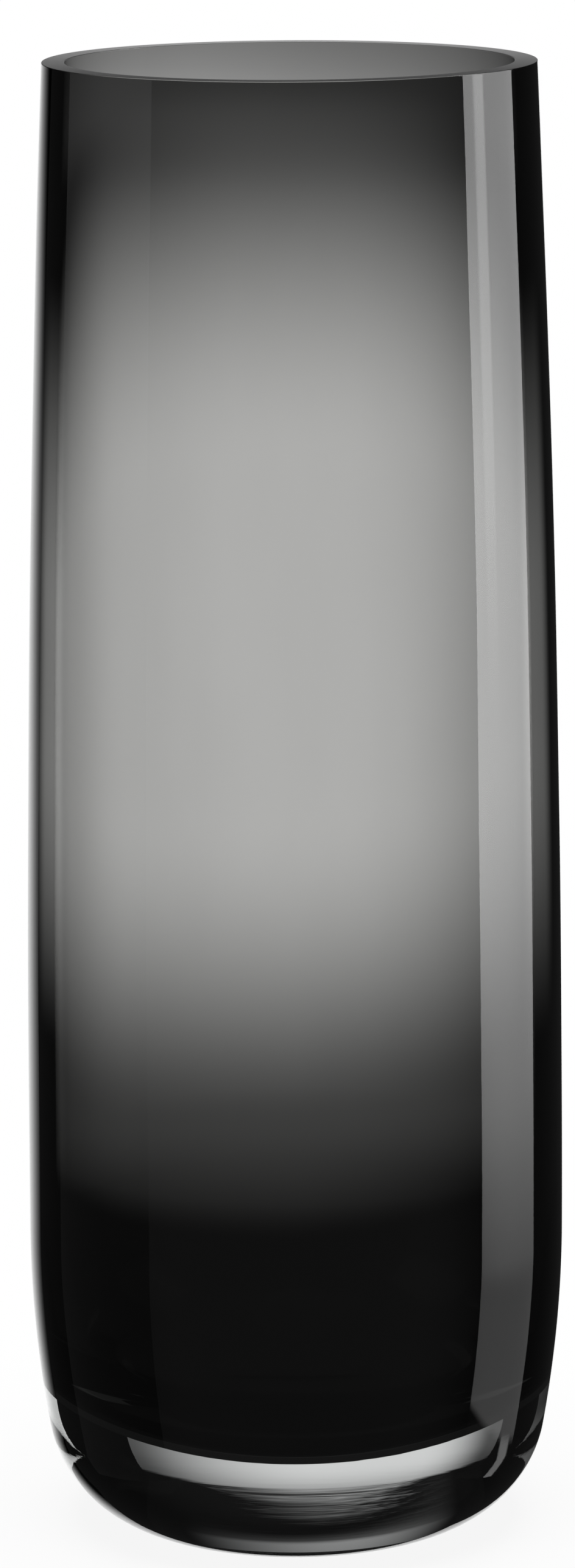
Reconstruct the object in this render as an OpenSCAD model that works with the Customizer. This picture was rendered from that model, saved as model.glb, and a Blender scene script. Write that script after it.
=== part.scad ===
// Tall cased-glass cylinder vase.
// A smoke-grey glass liner forms the cavity. A clear glass casing is fused round the
// liner and thickens below it into a heavy clear base. The rim is ground flat.
// Millimetres, +Z up, origin at the centre of the foot's underside.
// Every profile is a chain of tangent arcs, revolved about +Z. An arc is measured by the
// angle of its outward normal: -90 points straight down and 0 points straight out.

/* [Overall size] */
// Height from the foot to the rim
vase_height = 340; // [300:5:380]
// Outside diameter at the widest part of the belly
belly_diameter = 124; // [120:1:134]
// Outside diameter at the rim
rim_diameter = 112; // [104:1:118]

/* [Outer corner] */
// Radius of the long arc from the belly down to the base corner
lower_wall_radius = 273; // [240:1:320]
// Lean of the wall, in degrees from upright, where the base corner begins
corner_start_lean = 10; // [8:0.5:12]
// Radius of the rounded base corner
corner_radius = 28.5; // [24:0.5:34]
// Lean of the corner, in degrees from upright, where it meets the foot's edge
corner_end_lean = 72; // [65:1:78]
// Radius of the eased edge round the flat foot
foot_edge_radius = 2.5; // [1:0.5:4]

/* [Glass thickness] */
// Whole wall at the rim, casing and liner together
rim_wall = 5.2; // [4:0.2:7]
// Whole wall at the belly, casing and liner together
belly_wall = 6.2; // [5:0.2:8]
// Smoke-grey liner
liner_thickness = 1.6; // [1:0.1:2.4]
// Clear base, from the foot up to the lowest point of the liner
base_thickness = 21; // [16:1:28]

/* [Liner bowl] */
// Radius of the shallow dish at the bottom of the liner
dish_radius = 92; // [85:1:120]
// Radius of the liner's corner between the dish and the wall
liner_corner_radius = 26; // [20:1:30]
// Radius of the long arc above the liner's corner
liner_lower_wall_radius = 230; // [200:5:280]
// Lean of the liner's wall, in degrees from upright, above its corner
liner_corner_lean = 10; // [8:0.5:12]

/* [Rim] */
// Width of the fine bevels along both edges of the ground rim
rim_bevel = 0.6; // [0.3:0.1:1]

/* [Hidden] */

$fn = 128;
steps_long_arc = 18;
steps_corner_arc = 24;
steps_foot_edge = 4;

belly_r = belly_diameter / 2;
rim_r = rim_diameter / 2;

// Centre of the arc that an arc of radius big runs into, at the shared normal angle
function next_centre(centre, big, small, angle) = centre + (big - small) * [cos(angle), sin(angle)];

// Points along an arc, from one normal angle to another
function arc(centre, radius, from, to, steps) = [
    for (i = [0 : steps])
        let (angle = from + (to - from) * i / steps)
        centre + radius * [cos(angle), sin(angle)]
];

// Radius of the barrel arc that leaves the belly upright and pulls in by drop over height
function barrel_radius(height, drop) = (height * height + drop * drop) / (2 * drop);

// Outer profile: foot edge, corner, lower wall and barrel
belly_z = foot_edge_radius * (1 - sin(corner_end_lean))
    + corner_radius * (sin(corner_end_lean) - sin(corner_start_lean))
    + lower_wall_radius * sin(corner_start_lean);
lower_wall_centre = [belly_r - lower_wall_radius, belly_z];
corner_centre = next_centre(lower_wall_centre, lower_wall_radius, corner_radius, -corner_start_lean);
foot_edge_centre = next_centre(corner_centre, corner_radius, foot_edge_radius, -corner_end_lean);
barrel_r = barrel_radius(vase_height - belly_z, belly_r - rim_r);
barrel_centre = [belly_r - barrel_r, belly_z];
barrel_end = asin((vase_height - rim_bevel - belly_z) / barrel_r);

outer_profile = concat(
    arc(foot_edge_centre, foot_edge_radius, -90, -corner_end_lean, steps_foot_edge),
    arc(corner_centre, corner_radius, -corner_end_lean, -corner_start_lean, steps_corner_arc),
    arc(lower_wall_centre, lower_wall_radius, -corner_start_lean, 0, steps_long_arc),
    arc(barrel_centre, barrel_r, 0, barrel_end, steps_long_arc)
);

// Liner profile, on the face that the casing is fused to: dish, corner, lower wall and barrel
liner_belly_r = belly_r - belly_wall + liner_thickness;
liner_rim_r = rim_r - rim_wall + liner_thickness;
liner_corner_top_r = liner_belly_r - liner_lower_wall_radius * (1 - cos(liner_corner_lean));
dish_edge_lean = acos((liner_corner_top_r - liner_corner_radius * cos(liner_corner_lean))
    / (dish_radius - liner_corner_radius));
dish_centre = [0, base_thickness + dish_radius];
liner_corner_centre = next_centre(dish_centre, dish_radius, liner_corner_radius, -dish_edge_lean);
liner_lower_wall_centre = next_centre(liner_corner_centre, liner_corner_radius,
    liner_lower_wall_radius, -liner_corner_lean);
liner_belly_z = liner_lower_wall_centre[1];
liner_barrel_r = barrel_radius(vase_height - liner_belly_z, liner_belly_r - liner_rim_r);
liner_barrel_centre = [liner_belly_r - liner_barrel_r, liner_belly_z];

// The liner's profile, moved inwards by inset: 0 is the fused face, liner_thickness the cavity
function liner_profile(inset, top_z) = concat(
    arc(dish_centre, dish_radius - inset, -90, -dish_edge_lean, steps_long_arc),
    arc(liner_corner_centre, liner_corner_radius - inset, -dish_edge_lean, -liner_corner_lean,
        steps_corner_arc),
    arc(liner_lower_wall_centre, liner_lower_wall_radius - inset, -liner_corner_lean, 0,
        steps_long_arc),
    arc(liner_barrel_centre, liner_barrel_r - inset, 0,
        asin((top_z - liner_belly_z) / (liner_barrel_r - inset)), steps_long_arc)
);

fused_face = liner_profile(0, vase_height);
cavity_face = liner_profile(liner_thickness, vase_height - rim_bevel);

function reversed(points) = [for (i = [len(points) - 1 : -1 : 0]) points[i]];
function last(points) = points[len(points) - 1];

module clear_glass_casing() {
    rim_outer = [last(outer_profile)[0] - rim_bevel, vase_height];
    color([0.88, 0.93, 0.93, 0.35])
        rotate_extrude()
            polygon(concat([[0, 0]], outer_profile, [rim_outer], reversed(fused_face)));
}

module smoke_glass_liner() {
    rim_inner = [last(cavity_face)[0] + rim_bevel, vase_height];
    color([0.16, 0.17, 0.16, 0.75])
        rotate_extrude()
            polygon(concat(fused_face, [rim_inner], reversed(cavity_face)));
}

clear_glass_casing();
smoke_glass_liner();
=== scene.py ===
import functools
import math

import bpy
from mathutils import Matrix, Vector, noise


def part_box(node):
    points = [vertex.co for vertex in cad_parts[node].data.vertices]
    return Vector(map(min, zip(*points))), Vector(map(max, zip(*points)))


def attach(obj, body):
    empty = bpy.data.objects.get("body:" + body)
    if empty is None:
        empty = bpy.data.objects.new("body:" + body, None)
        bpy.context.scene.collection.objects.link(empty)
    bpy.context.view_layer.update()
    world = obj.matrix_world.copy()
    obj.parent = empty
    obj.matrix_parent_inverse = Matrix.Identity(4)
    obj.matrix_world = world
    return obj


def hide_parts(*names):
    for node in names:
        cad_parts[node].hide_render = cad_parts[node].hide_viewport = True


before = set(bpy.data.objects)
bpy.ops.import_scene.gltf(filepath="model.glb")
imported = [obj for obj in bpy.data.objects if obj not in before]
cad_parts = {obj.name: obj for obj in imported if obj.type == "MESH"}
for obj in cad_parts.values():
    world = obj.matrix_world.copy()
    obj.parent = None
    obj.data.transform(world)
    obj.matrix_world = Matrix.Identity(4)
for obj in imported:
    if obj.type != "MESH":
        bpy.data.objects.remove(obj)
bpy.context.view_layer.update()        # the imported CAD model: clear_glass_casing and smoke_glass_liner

# The vase is cased glass: a clear outer vessel with a thick base, and a thin smoke-grey layer inside it.
# Both are turned around Z from one chain of tangent arcs, the same chain as in the CAD model.
# The profiles are in millimetres. The materials and the studio are in metres.

_, casing_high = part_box("clear_glass_casing")
liner_low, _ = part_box("smoke_glass_liner")

MM = 0.001
HEIGHT = casing_high.z / MM
BELLY_RADIUS = casing_high.x / MM
RIM_RADIUS = 56.0
RIM_WALL = 5.2
RIM_EDGE = 0.15          # radius of the two edges of the ground rim

# foot and outer corner; a lean is an angle below the horizontal in degrees
FOOT_RINGS = (0.0, 9.0, 18.0, 27.0, 34.0)
FOOT_EDGE_RADIUS = 2.5
CORNER_END_LEAN = 72.0
CORNER_RADIUS = 28.5
CORNER_START_LEAN = 10.0
LOWER_WALL_RADIUS = 273.0

# inner cup
BELLY_WALL = 6.2
SMOKE_THICKNESS = 1.6
BASE_THICKNESS = liner_low.z / MM
DISH_RADIUS = 92.0
CUP_CORNER_RADIUS = 26.0
CUP_CORNER_LEAN = 10.0
CUP_LOWER_WALL_RADIUS = 230.0
EMBED = 0.03             # the smoke layer's inner face lies this far inside the vessel's
SMOKE_TOP_GAP = 0.04     # the smoke layer ends this far under the rim

# unevenness of blown glass
UNEVENNESS = 0.10
SPOTS_AROUND = 1.3
SPOT_HEIGHT = 55.0

# turned meshes
AROUND = 224             # faces around the axis
TURN_STEP = 0.01         # in radians, for the slope of the unevenness around the axis
CLIMB_STEP = 0.5         # in millimetres, for its slope upwards

# glass
GLASS_INDEX = 1.5
CLEAR_FADE = (0.75, 0.6, 0.65)             # per metre, for red, green and blue
RIPPLE_DEPTH = 0.000009
WAVE_DEPTH = 0.00003
RIM_ROUGHNESS = 0.10
SMOKE_DARK = (0.2126, 0.2126, 0.2100, 1.0)
SMOKE_LIGHT = (0.2226, 0.2226, 0.2200, 1.0)

# Light crosses 2 glass faces through the clear base, 4 through one wall and 8 through both. Light that a wall
# has turned back inside itself crosses 6. These numbers tell the ways apart.
SMOKE_CROSSINGS = 3.5
SECOND_WALL_CROSSINGS = 4.5
TURNED_CROSSINGS = 6.0

# studio
TENT_RADIUS, TENT_LOW, TENT_HIGH, TENT_SIDES = 0.22, -0.2, 0.5, 96
TENT_STRENGTH = 10.3
SOFT_BOX_DISTANCE, SOFT_BOX_HEIGHT, SOFT_BOX_CENTRE = 1.0, 1.8, 0.2
FLOOR_REACH = 6.0
CAMERA_PLACE = (0, -1.5, 0.466)
CAMERA_PITCH = 11.03
CAMERA_ROLL = 0.33


# ---------------------------------------------------------------- profiles

def on_circle(centre, radius, lean):
    """The point of a circle whose outward normal leans that many degrees above the horizontal."""
    a = math.radians(lean)
    return (centre[0] + radius * math.cos(a), centre[1] + radius * math.sin(a))


def arc(centre, radius, start, end, steps):
    """Points of an arc as (radius, height, lean)."""
    leans = [start + (end - start) * i / steps for i in range(steps + 1)]
    return [on_circle(centre, radius, lean) + (lean,) for lean in leans]


def facing_in(points):
    """The same points in reverse order, with their normals turned towards the axis."""
    return [(r, z, lean + 180.0) for r, z, lean in reversed(points)]


def next_centre(centre, big, small, lean):
    """Centre of the smaller circle that touches the bigger one from inside at that lean."""
    return on_circle(centre, big - small, lean)


def barrel(height, drop):
    """Radius of the long arc that leaves the vertical at the belly and has come in by drop at height."""
    return (height * height + drop * drop) / (2 * drop)


def outer_profile():
    """From the foot's centre to the top of the outer wall."""
    end, start = math.radians(CORNER_END_LEAN), math.radians(CORNER_START_LEAN)
    belly_z = (FOOT_EDGE_RADIUS * (1 - math.sin(end)) + CORNER_RADIUS * (math.sin(end) - math.sin(start))
               + LOWER_WALL_RADIUS * math.sin(start))
    wall = (BELLY_RADIUS - LOWER_WALL_RADIUS, belly_z)
    corner = next_centre(wall, LOWER_WALL_RADIUS, CORNER_RADIUS, -CORNER_START_LEAN)
    foot = next_centre(corner, CORNER_RADIUS, FOOT_EDGE_RADIUS, -CORNER_END_LEAN)
    rise = barrel(HEIGHT - belly_z, BELLY_RADIUS - RIM_RADIUS)
    upper = (BELLY_RADIUS - rise, belly_z)
    top = math.degrees(math.asin((HEIGHT - RIM_EDGE - belly_z) / rise))
    return ([(r, 0.0, -90.0) for r in FOOT_RINGS]
            + arc(foot, FOOT_EDGE_RADIUS, -90, -CORNER_END_LEAN, steps=4)
            + arc(corner, CORNER_RADIUS, -CORNER_END_LEAN, -CORNER_START_LEAN, steps=44)[1:]
            + arc(wall, LOWER_WALL_RADIUS, -CORNER_START_LEAN, 0, steps=20)[1:]
            + arc(upper, rise, 0, top, steps=54)[1:])


def cup_profile(inset, top_z):
    """The smoke layer's outer face moved inwards by inset, from its lowest point up to top_z."""
    belly = BELLY_RADIUS - BELLY_WALL + SMOKE_THICKNESS
    rim = RIM_RADIUS - RIM_WALL + SMOKE_THICKNESS
    lean = math.radians(CUP_CORNER_LEAN)
    reach = belly - CUP_LOWER_WALL_RADIUS * (1 - math.cos(lean))
    dish_edge = math.degrees(math.acos(
        (reach - CUP_CORNER_RADIUS * math.cos(lean)) / (DISH_RADIUS - CUP_CORNER_RADIUS)))
    dish = (0.0, BASE_THICKNESS + DISH_RADIUS)
    corner = next_centre(dish, DISH_RADIUS, CUP_CORNER_RADIUS, -dish_edge)
    wall = next_centre(corner, CUP_CORNER_RADIUS, CUP_LOWER_WALL_RADIUS, -CUP_CORNER_LEAN)
    rise = barrel(HEIGHT - wall[1], belly - rim)
    upper = (belly - rise, wall[1])
    top = math.degrees(math.asin((top_z - wall[1]) / (rise - inset)))
    points = (arc(dish, DISH_RADIUS - inset, -90, -dish_edge, steps=16)
              + arc(corner, CUP_CORNER_RADIUS - inset, -dish_edge, -CUP_CORNER_LEAN, steps=24)[1:]
              + arc(wall, CUP_LOWER_WALL_RADIUS - inset, -CUP_CORNER_LEAN, 0, steps=20)[1:]
              + arc(upper, rise - inset, 0, top, steps=54)[1:])
    points[0] = (0.0, points[0][1], -90.0)
    return points


def inner_rim_edge(cavity_end, inset):
    """The rounded inner edge of the rim, moved into the glass by inset, from its top to the cavity."""
    centre = (cavity_end[0] + RIM_EDGE, HEIGHT - RIM_EDGE)
    return arc(centre, RIM_EDGE - inset, 90, 180, steps=6)[:-1]


def ground_rim(outer_end, cavity_end):
    """The ground rim: flat on top, with both edges softened."""
    centre = (outer_end[0] - RIM_EDGE, HEIGHT - RIM_EDGE)
    middle = (centre[0] + (cavity_end[0] + RIM_EDGE)) / 2
    return (arc(centre, RIM_EDGE, 0, 90, steps=6)[1:] + [(middle, HEIGHT, 90.0)]
            + inner_rim_edge(cavity_end, 0.0))


# ---------------------------------------------------------------- meshes

def wobble(angle, z):
    """Slow uneven spots, as on glass that was blown and turned by hand. It dies out at the foot and rim."""
    place = Vector((SPOTS_AROUND * math.cos(angle), SPOTS_AROUND * math.sin(angle), z / SPOT_HEIGHT))
    above_foot = min(1.0, max(0.0, z - 6.0) / 30.0)
    below_rim = min(1.0, max(0.0, HEIGHT - 3.0 - z) / 20.0)
    fade = above_foot * below_rim
    return UNEVENNESS * fade * noise.noise(place)


def turned(name, profile):
    """A closed mesh turned around Z from (radius, height, lean) points, with the arcs' exact normals."""
    vertices, normals, rings = [], [], []
    for radius, z, lean in profile:
        first = len(vertices)
        out, up = math.cos(math.radians(lean)), math.sin(math.radians(lean))
        on_axis = radius < 1e-6
        count = 1 if on_axis else AROUND
        for k in range(count):
            a = 2 * math.pi * k / AROUND
            if on_axis:
                vertices.append((0.0, 0.0, z * MM))
                normals.append(Vector((0.0, 0.0, 1.0 if up > 0 else -1.0)))
                continue
            r = radius + wobble(a, z)
            sidewards = (wobble(a + TURN_STEP, z) - wobble(a - TURN_STEP, z)) / (2 * TURN_STEP) / radius
            upwards = (wobble(a, z + CLIMB_STEP) - wobble(a, z - CLIMB_STEP)) / (2 * CLIMB_STEP)
            vertices.append((r * math.cos(a) * MM, r * math.sin(a) * MM, z * MM))
            radial = Vector((math.cos(a), math.sin(a), 0.0))
            tangent = Vector((-math.sin(a), math.cos(a), 0.0))
            normal = radial * out - tangent * out * sidewards + Vector((0.0, 0.0, up - out * upwards))
            normals.append(normal.normalized())
        rings.append(range(first, first + count))
    faces = []
    for low, high in zip(rings, rings[1:]):
        for k in range(AROUND):
            n = (k + 1) % AROUND
            if len(low) == 1:
                faces.append((low[0], high[n], high[k]))
            elif len(high) == 1:
                faces.append((low[k], low[n], high[0]))
            else:
                faces.append((low[k], low[n], high[n], high[k]))
    mesh = bpy.data.meshes.new(name)
    mesh.from_pydata(vertices, [], faces)
    mesh.update()
    mesh.polygons.foreach_set("use_smooth", [True] * len(mesh.polygons))
    mesh.normals_split_custom_set_from_vertices(normals)
    piece = bpy.data.objects.new(name, mesh)
    bpy.context.scene.collection.objects.link(piece)
    return piece


# ---------------------------------------------------------------- node helpers

def new_material(name):
    material = bpy.data.materials.new(name)
    material.use_nodes = True
    return material, material.node_tree


def link(tree, source, target):
    tree.links.new(source, target)


def math_node(tree, operation, first, second=None, third=None):
    node = tree.nodes.new("ShaderNodeMath")
    node.operation = operation
    for socket, value in zip(node.inputs, (first, second, third)):
        if value is None:
            continue
        if isinstance(value, (int, float)):
            socket.default_value = value
        else:
            link(tree, value, socket)
    return node.outputs[0]


def product(tree, *factors):
    """All the factors, multiplied in their order."""
    return functools.reduce(lambda result, factor: math_node(tree, "MULTIPLY", result, factor), factors)


def total(tree, *terms):
    """All the terms, added in their order."""
    return functools.reduce(lambda result, term: math_node(tree, "ADD", result, term), terms)


def smooth_step(tree, value, start, end, low=0.0, high=1.0):
    """Goes smoothly from low at start to high at end."""
    node = tree.nodes.new("ShaderNodeMapRange")
    node.interpolation_type = "SMOOTHSTEP"
    link(tree, value, node.inputs["Value"])
    if start > end:
        start, end, low, high = end, start, high, low
    for socket, number in (("From Min", start), ("From Max", end), ("To Min", low), ("To Max", high)):
        node.inputs[socket].default_value = number
    return node.outputs["Result"]


def object_place(tree, space="Object"):
    """The texture place in metres, or the direction for the world, and its x, y and z."""
    place = tree.nodes.new("ShaderNodeTexCoord").outputs[space]
    split = tree.nodes.new("ShaderNodeSeparateXYZ")
    link(tree, place, split.inputs[0])
    return place, split.outputs


def stretched_noise(tree, place, across, along, detail=2.0, roughness=0.5):
    """Noise with that many waves per metre sideways and upwards."""
    scale = tree.nodes.new("ShaderNodeVectorMath")
    scale.operation = "MULTIPLY"
    scale.inputs[1].default_value = (across, across, along)
    link(tree, place, scale.inputs[0])
    node = tree.nodes.new("ShaderNodeTexNoise")
    node.inputs["Scale"].default_value = 1.0
    node.inputs["Detail"].default_value = detail
    node.inputs["Roughness"].default_value = roughness
    link(tree, scale.outputs[0], node.inputs["Vector"])
    return node.outputs["Fac"]


def absorb(tree, per_metre):
    """Colours the inside of a closed piece. per_metre is how strongly red, green and blue fade."""
    volume = tree.nodes.new("ShaderNodeVolumeAbsorption")
    density = max(per_metre) / 0.9
    volume.inputs["Density"].default_value = density
    volume.inputs["Color"].default_value = tuple(1 - a / density for a in per_metre) + (1.0,)
    link(tree, volume.outputs[0], tree.nodes["Material Output"].inputs["Volume"])


# ---------------------------------------------------------------- glass

def clear_glass():
    """Clear soda glass: polished, faintly green in its depth, with fine turned ripples round the foot."""
    material, tree = new_material("clear_glass")
    shader = tree.nodes["Principled BSDF"]
    shader.inputs["Base Color"].default_value = (1.0, 1.0, 1.0, 1.0)
    shader.inputs["Transmission Weight"].default_value = 1.0
    shader.inputs["IOR"].default_value = GLASS_INDEX
    place, (_, _, z) = object_place(tree)

    # ripples left by the block that the hot base was turned in, and slow waves all over
    band = product(tree, smooth_step(tree, z, 0.002, 0.010), smooth_step(tree, z, 0.036, 0.020))
    ripples = stretched_noise(tree, place, 14.0, 620.0, detail=3.0, roughness=0.55)
    waves = stretched_noise(tree, place, 30.0, 16.0, detail=1.0)
    height = math_node(tree, "MULTIPLY_ADD", product(tree, ripples, band), RIPPLE_DEPTH,
                       product(tree, waves, WAVE_DEPTH))
    bump = tree.nodes.new("ShaderNodeBump")
    bump.inputs["Strength"].default_value = 1.0
    bump.inputs["Distance"].default_value = 1.0
    link(tree, height, bump.inputs["Height"])
    link(tree, bump.outputs[0], shader.inputs["Normal"])

    # the rim is ground and polished, so it is a little duller than the blown faces
    rim = smooth_step(tree, z, HEIGHT * MM - 0.0006, HEIGHT * MM - 0.0001)
    haze = stretched_noise(tree, place, 45.0, 45.0, detail=4.0, roughness=0.65)
    haze = smooth_step(tree, haze, 0.45, 0.80, 0.0, 0.012)
    link(tree, math_node(tree, "MULTIPLY_ADD", rim, RIM_ROUGHNESS, haze), shader.inputs["Roughness"])
    absorb(tree, CLEAR_FADE)
    return material


def smoke_glass():
    """The smoke-grey layer. It is fused to the clear glass, so it only tints: its index step is none.

    Its colour is what one pass lets through, in at one face of the layer and out at the other.
    """
    material, tree = new_material("smoke_glass")
    shader = tree.nodes["Principled BSDF"]
    shader.inputs["Transmission Weight"].default_value = 1.0
    shader.inputs["IOR"].default_value = 1.0
    shader.inputs["Roughness"].default_value = 0.0
    place, _ = object_place(tree)
    drawn = stretched_noise(tree, place, 26.0, 9.0, detail=3.0, roughness=0.6)
    ramp = tree.nodes.new("ShaderNodeValToRGB")
    ends = ramp.color_ramp.elements
    for end, position, colour in ((ends[0], 0.25, SMOKE_DARK), (ends[1], 0.75, SMOKE_LIGHT)):
        end.position = position
        end.color = colour
    link(tree, drawn, ramp.inputs[0])
    link(tree, ramp.outputs[0], shader.inputs["Base Color"])
    return material


outer = outer_profile()
cavity = cup_profile(SMOKE_THICKNESS, HEIGHT - RIM_EDGE)
vessel = turned("clear_glass_vessel", outer + ground_rim(outer[-1], cavity[-1]) + facing_in(cavity))
vessel.data.materials.append(clear_glass())
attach(vessel, "root")
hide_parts("clear_glass_casing")

smoke_outside = cup_profile(0.0, HEIGHT - SMOKE_TOP_GAP)
smoke_inside = cup_profile(SMOKE_THICKNESS - EMBED, HEIGHT - RIM_EDGE)
smoke = turned("smoke_glass_layer",
               smoke_outside + inner_rim_edge(cavity[-1], EMBED) + facing_in(smoke_inside))
smoke.data.materials.append(smoke_glass())
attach(smoke, "root")
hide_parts("smoke_glass_liner")


# ---------------------------------------------------------------- studio

def stage_mesh(name, vertices, faces, material):
    mesh = bpy.data.meshes.new(name)
    mesh.from_pydata(vertices, [], faces)
    mesh.materials.append(material)
    thing = bpy.data.objects.new(name, mesh)
    bpy.context.scene.collection.objects.link(thing)
    return thing


def seen_by(thing, glossy, transmission):
    """Hides a light source from the camera and the floor. The glass sees it only in the ways given."""
    thing.visible_camera = False
    thing.visible_diffuse = False
    thing.visible_shadow = False
    thing.visible_glossy = glossy
    thing.visible_transmission = transmission


def glow_material(name, glow):
    """Emission only. glow(tree, x, y, z) gives its strength, or its strength and how much of it covers."""
    material, tree = new_material(name)
    tree.nodes.remove(tree.nodes["Principled BSDF"])
    emission = tree.nodes.new("ShaderNodeEmission")
    _, (x, y, z) = object_place(tree)
    result = glow(tree, x, y, z)
    strength, cover = result if isinstance(result, tuple) else (result, None)
    link(tree, strength, emission.inputs["Strength"])
    shown = emission.outputs[0]
    if cover is not None:
        mix = tree.nodes.new("ShaderNodeMixShader")
        link(tree, cover, mix.inputs[0])
        link(tree, tree.nodes.new("ShaderNodeBsdfTransparent").outputs[0], mix.inputs[1])
        link(tree, shown, mix.inputs[2])
        shown = mix.outputs[0]
    link(tree, shown, tree.nodes["Material Output"].inputs["Surface"])
    return material


def light_history(tree):
    """Glass faces crossed so far, whether the smoke layer was among them, and how the light was reflected."""
    path = tree.nodes.new("ShaderNodeLightPath")
    crossed, reflected = path.outputs["Transmission Depth"], path.outputs["Glossy Depth"]
    smoky = math_node(tree, "GREATER_THAN", crossed, SMOKE_CROSSINGS)
    straight = math_node(tree, "LESS_THAN", reflected, 0.5)
    turned_once = product(tree, math_node(tree, "COMPARE", crossed, TURNED_CROSSINGS, 0.5),
                          math_node(tree, "COMPARE", reflected, 1.0, 0.5))
    return crossed, smoky, straight, turned_once


def dimmed_past(tree, crossed, faces, factor):
    """1 for light that has crossed fewer faces, and factor for light that has crossed more."""
    return smooth_step(tree, crossed, faces - 0.1, faces + 0.1, 1.0, factor)


def tent_oval(tree, x, y, z):
    """A soft oval seen through both walls. To the sides its lower edge climbs and its upper edge sinks."""
    step = functools.partial(smooth_step, tree)
    bow = math_node(tree, "MINIMUM", product(tree, x, x), 0.0225)
    low = math_node(tree, "MULTIPLY_ADD", bow, -1.0, z)
    low = math_node(tree, "MULTIPLY_ADD", math_node(tree, "MAXIMUM", x, 0.0), -0.12, low)
    rise = total(tree, step(low, 0.036, 0.122, 0.0, 0.90), step(low, -0.008, 0.042, 0.0, 0.10))
    fall = step(math_node(tree, "MULTIPLY_ADD", bow, 2.0, z), 0.320, 0.217)

    # changes from its full strength: less to the left, much less to the right, more again at its far sides
    aside = math_node(tree, "ABSOLUTE", x)
    far = total(tree, step(aside, 0.118, 0.150, 0.0, 0.65), step(aside, 0.160, 0.185, 0.0, -0.35))
    far = product(tree, far, step(y, -0.02, 0.06, 0.55, 1.0))
    change = total(tree, step(x, -0.015, -0.05, 0.0, -0.09), step(x, -0.06, -0.10, 0.0, -0.19),
                   step(x, 0.015, 0.085, 0.0, -0.40), far)
    return product(tree, rise, fall, math_node(tree, "MULTIPLY_ADD", change, TENT_STRENGTH, TENT_STRENGTH))


def tent_sides(tree, x, z):
    """Near its sides the vase turns light back inside its wall, so it shows the tent's sides instead."""
    step = functools.partial(smooth_step, tree)
    aside = math_node(tree, "ABSOLUTE", total(tree, x, 0.003))
    return product(tree, step(aside, 0.126, 0.165), step(z, 0.07, 0.15), step(z, 0.275, 0.185),
                   step(x, 0.05, -0.05, 2.9, 4.6))


def tent_top(tree, x, z):
    """A bright band high on the tent. Over the rim only the far wall is in front of it."""
    step = functools.partial(smooth_step, tree)
    aside = math_node(tree, "ABSOLUTE", x)
    return product(tree, step(z, 0.290, 0.310), step(z, 0.336, 0.329), step(z, 0.330, 0.305, 0.7, 1.25),
                   step(x, 0.09, -0.06, 0.7, 1.35), step(aside, 0.02, 0.10, 1.0, 0.65))


def tent_glow(tree, x, y, z):
    """The light tent behind the vase, seen only through the smoke layer."""
    crossed, smoky, straight, turned_once = light_history(tree)
    oval = tent_oval(tree, x, y, z)
    second_wall = math_node(tree, "GREATER_THAN", crossed, SECOND_WALL_CROSSINGS)
    weak_above = smooth_step(tree, z, 0.15, 0.25, 0.0, 0.12)
    oval = product(tree, oval, math_node(tree, "MAXIMUM", second_wall, weak_above))
    ahead = math_node(tree, "MULTIPLY_ADD", tent_top(tree, x, z),
                      dimmed_past(tree, crossed, SECOND_WALL_CROSSINGS, 0.45), oval)
    shown = tree.nodes.new("ShaderNodeMix")
    link(tree, straight, shown.inputs["Factor"])
    link(tree, tent_sides(tree, x, z), shown.inputs["A"])
    link(tree, ahead, shown.inputs["B"])
    cover = product(tree, smoky, math_node(tree, "MAXIMUM", straight, turned_once))
    return total(tree, shown.outputs["Result"], 0.02), cover


def base_glow(tree, x, y, z):
    """What the clear base shows: a weak card that fades upwards and to its ends, and a dim patch above it."""
    step = functools.partial(smooth_step, tree)
    leaning = math_node(tree, "MULTIPLY_ADD", x, 0.05, z)
    upwards = product(tree, step(leaning, 0.026, 0.056, 0.94, 0.60), step(leaning, 0.0597, 0.0530))
    to_ends = product(tree, step(x, 0.074, -0.008, 0.12, 1.0), step(x, -0.105, -0.045, 0.12, 1.0))
    patch = product(tree, step(x, 0.050, -0.018), step(x, -0.085, -0.018), step(z, 0.061, 0.078, 0.0, 0.27))
    _, smoky, straight, _ = light_history(tree)
    lit = math_node(tree, "MULTIPLY_ADD", product(tree, upwards, to_ends), 0.75, patch)
    return total(tree, product(tree, lit, straight), 0.003), math_node(tree, "SUBTRACT", 1.0, smoky)


def edge_glow(tree, x, y, z):
    """White paper seen in the grazing reflections: wide and soft to the left, narrow to the right."""
    height = math_node(tree, "SUBTRACT", z, 0.13)
    bowed = math_node(tree, "MULTIPLY_ADD", product(tree, height, height), -0.6, x)
    return product(tree, smooth_step(tree, bowed, -0.155, -0.090),
                   smooth_step(tree, z, 0.354, 0.334, 0.07, 1.0))


def right_box_glow(tree, x, y, z):
    """A tall soft box, weak and narrow at its foot, with a tube that shows in its upper half."""
    step = functools.partial(smooth_step, tree)
    narrow = product(tree, step(x, -0.145, -0.115, 2.2, 0.06), step(x, -0.28, -0.24, 0.02, 1.0))
    foot = product(tree, step(z, -0.45, -0.22, 0.75, 3.5),
                   math_node(tree, "MULTIPLY_ADD", step(z, -0.640, -0.665),
                             math_node(tree, "SUBTRACT", narrow, 1.0), 1.0))
    across = product(tree, step(x, -0.33, 0.33, 0.62, 1.0), step(z, -0.20, 0.10, 1.0, 1.10))
    tube = product(tree, step(x, 0.080, 0.110), step(x, 0.230, 0.195), step(z, -0.20, 0.15, 0.0, 0.60))
    mirrored = product(tree, foot, across, total(tree, tube, 1.0))

    # through the glass it is weaker than in the reflections, and weaker still through the smoke layer
    crossed, _, _, _ = light_history(tree)
    through = product(tree, dimmed_past(tree, crossed, 0.5, 0.36),
                      dimmed_past(tree, crossed, SMOKE_CROSSINGS, 0.15))
    return product(tree, mirrored, through)


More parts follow.
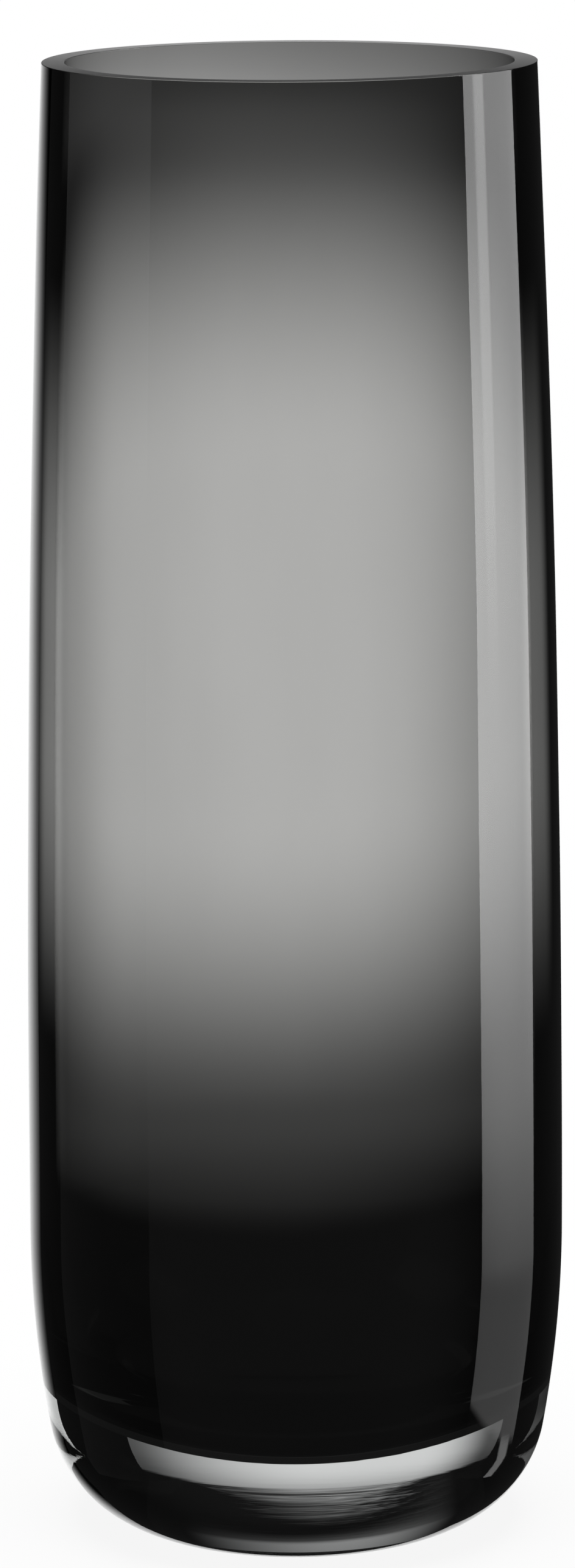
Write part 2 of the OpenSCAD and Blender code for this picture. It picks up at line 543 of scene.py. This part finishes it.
def left_box_glow(tree, x, y, z):
    """A dim soft box high on the left."""
    across = smooth_step(tree, x, 0.5, -0.1, 0.16, 0.40)
    return math_node(tree, "MULTIPLY_ADD", smooth_step(tree, z, -0.15, 0.15, 0.0, 0.75), across, 0.045)


def light_tent():
    vertices, faces = [], []
    for k in range(TENT_SIDES):
        a = 2 * math.pi * k / TENT_SIDES
        vertices += [(TENT_RADIUS * math.cos(a), TENT_RADIUS * math.sin(a), h) for h in (TENT_LOW, TENT_HIGH)]
        n = (k + 1) % TENT_SIDES
        faces.append((2 * k, 2 * n, 2 * n + 1, 2 * k + 1))
    tent = stage_mesh("light_tent", vertices, faces, glow_material("light_tent", tent_glow))
    seen_by(tent, glossy=False, transmission=True)


def card(name, xs, y, zs, glow, glossy, transmission):
    """A flat card that faces along Y, from the first to the second x and z."""
    corners = [(xs[0], y, zs[0]), (xs[1], y, zs[0]), (xs[1], y, zs[1]), (xs[0], y, zs[1])]
    panel = stage_mesh(name, corners, [(0, 1, 2, 3)], glow_material(name, glow))
    seen_by(panel, glossy, transmission)
    return panel


def soft_box(name, azimuth, width, glow):
    """A tall card that faces the vase. Its azimuth is counted from +Y towards +X."""
    w, h = width / 2, SOFT_BOX_HEIGHT / 2
    panel = card(name, (-w, w), 0, (-h, h), glow, glossy=True, transmission=True)
    a = math.radians(azimuth)
    panel.location = (SOFT_BOX_DISTANCE * math.sin(a), SOFT_BOX_DISTANCE * math.cos(a), SOFT_BOX_CENTRE)
    panel.rotation_euler = (0, 0, -a)


def pale_floor():
    """A pale floor with a faint contact shadow. The glass itself shows only the cards and the dark room."""
    material, tree = new_material("pale_floor")
    tree.nodes.remove(tree.nodes["Principled BSDF"])
    place, _ = object_place(tree)
    lit = tree.nodes.new("ShaderNodeBsdfDiffuse")
    lit.inputs["Color"].default_value = (0.9, 0.9, 0.9, 1.0)
    even = tree.nodes.new("ShaderNodeEmission")
    even.inputs["Strength"].default_value = 1.0
    distance = tree.nodes.new("ShaderNodeVectorMath")
    distance.operation = "LENGTH"
    link(tree, place, distance.inputs[0])
    shaded = smooth_step(tree, distance.outputs["Value"], 0.20, 0.04, 0.0, 0.09)
    seen = tree.nodes.new("ShaderNodeMixShader")
    link(tree, shaded, seen.inputs[0])
    link(tree, even.outputs[0], seen.inputs[1])
    link(tree, lit.outputs[0], seen.inputs[2])
    link(tree, seen.outputs[0], tree.nodes["Material Output"].inputs["Surface"])
    s = FLOOR_REACH
    floor = stage_mesh("floor", [(-s, -s, 0), (s, -s, 0), (s, s, 0), (-s, s, 0)], [(0, 1, 2, 3)], material)
    floor.location.z = -0.0002
    floor.visible_glossy = False
    floor.visible_transmission = False


def overhead_light():
    lamp = bpy.data.lights.new("overhead", "AREA")
    lamp.size = 1.2
    lamp.energy = 34.0
    light = bpy.data.objects.new("overhead", lamp)
    light.location = (0, 0, 1.6)
    light.visible_camera = False
    light.visible_glossy = False
    light.visible_transmission = False
    bpy.context.scene.collection.objects.link(light)


def surroundings():
    """White to the camera, dim in reflections and almost black through the glass."""
    world = bpy.data.worlds.new("studio")
    world.use_nodes = True
    bpy.context.scene.world = world
    tree = world.node_tree
    path = tree.nodes.new("ShaderNodeLightPath")
    _, (_, y, _) = object_place(tree, "Generated")
    room = smooth_step(tree, y, 0.2, -0.6, 0.016, 0.10)
    reflected = math_node(tree, "GREATER_THAN", path.outputs["Is Glossy Ray"],
                          path.outputs["Is Transmission Ray"])
    strength = total(tree, math_node(tree, "MULTIPLY_ADD", reflected, room, 0.002),
                     path.outputs["Is Camera Ray"])
    background = tree.nodes["Background"]
    background.inputs["Color"].default_value = (1.0, 1.0, 1.0, 1.0)
    link(tree, strength, background.inputs["Strength"])


light_tent()
card("base_card", (-0.118, 0.074), 0.2, (0.0, 0.15), base_glow, glossy=False, transmission=True)
card("edge_card", (-0.140, 0.0745), 0.1, (-0.1, 0.5), edge_glow, glossy=True, transmission=False)
soft_box("right_soft_box", 77, 0.665, right_box_glow)
soft_box("left_soft_box", -88, 1.04, left_box_glow)
pale_floor()
overhead_light()
surroundings()


# ---------------------------------------------------------------- camera

def place_camera():
    """In front of the vase and above its rim, looking 11 degrees down."""
    lens = bpy.data.cameras.new("camera")
    lens.sensor_fit = "VERTICAL"
    lens.sensor_height = 36.0
    lens.lens = 152.25
    lens.shift_x = -0.0039
    lens.clip_start = 0.05
    camera = bpy.data.objects.new("camera", lens)
    camera.location = CAMERA_PLACE
    camera.rotation_euler = (math.radians(90 - CAMERA_PITCH), 0, 0)
    camera.rotation_euler.rotate_axis("Z", math.radians(-CAMERA_ROLL))
    bpy.context.scene.collection.objects.link(camera)
    bpy.context.scene.camera = camera


place_camera()
bpy.context.scene.view_settings.view_transform = "Standard"
bpy.context.scene.cycles.max_bounces = 24
bpy.context.scene.cycles.transmission_bounces = 24
bpy.context.scene.cycles.min_light_bounces = 12
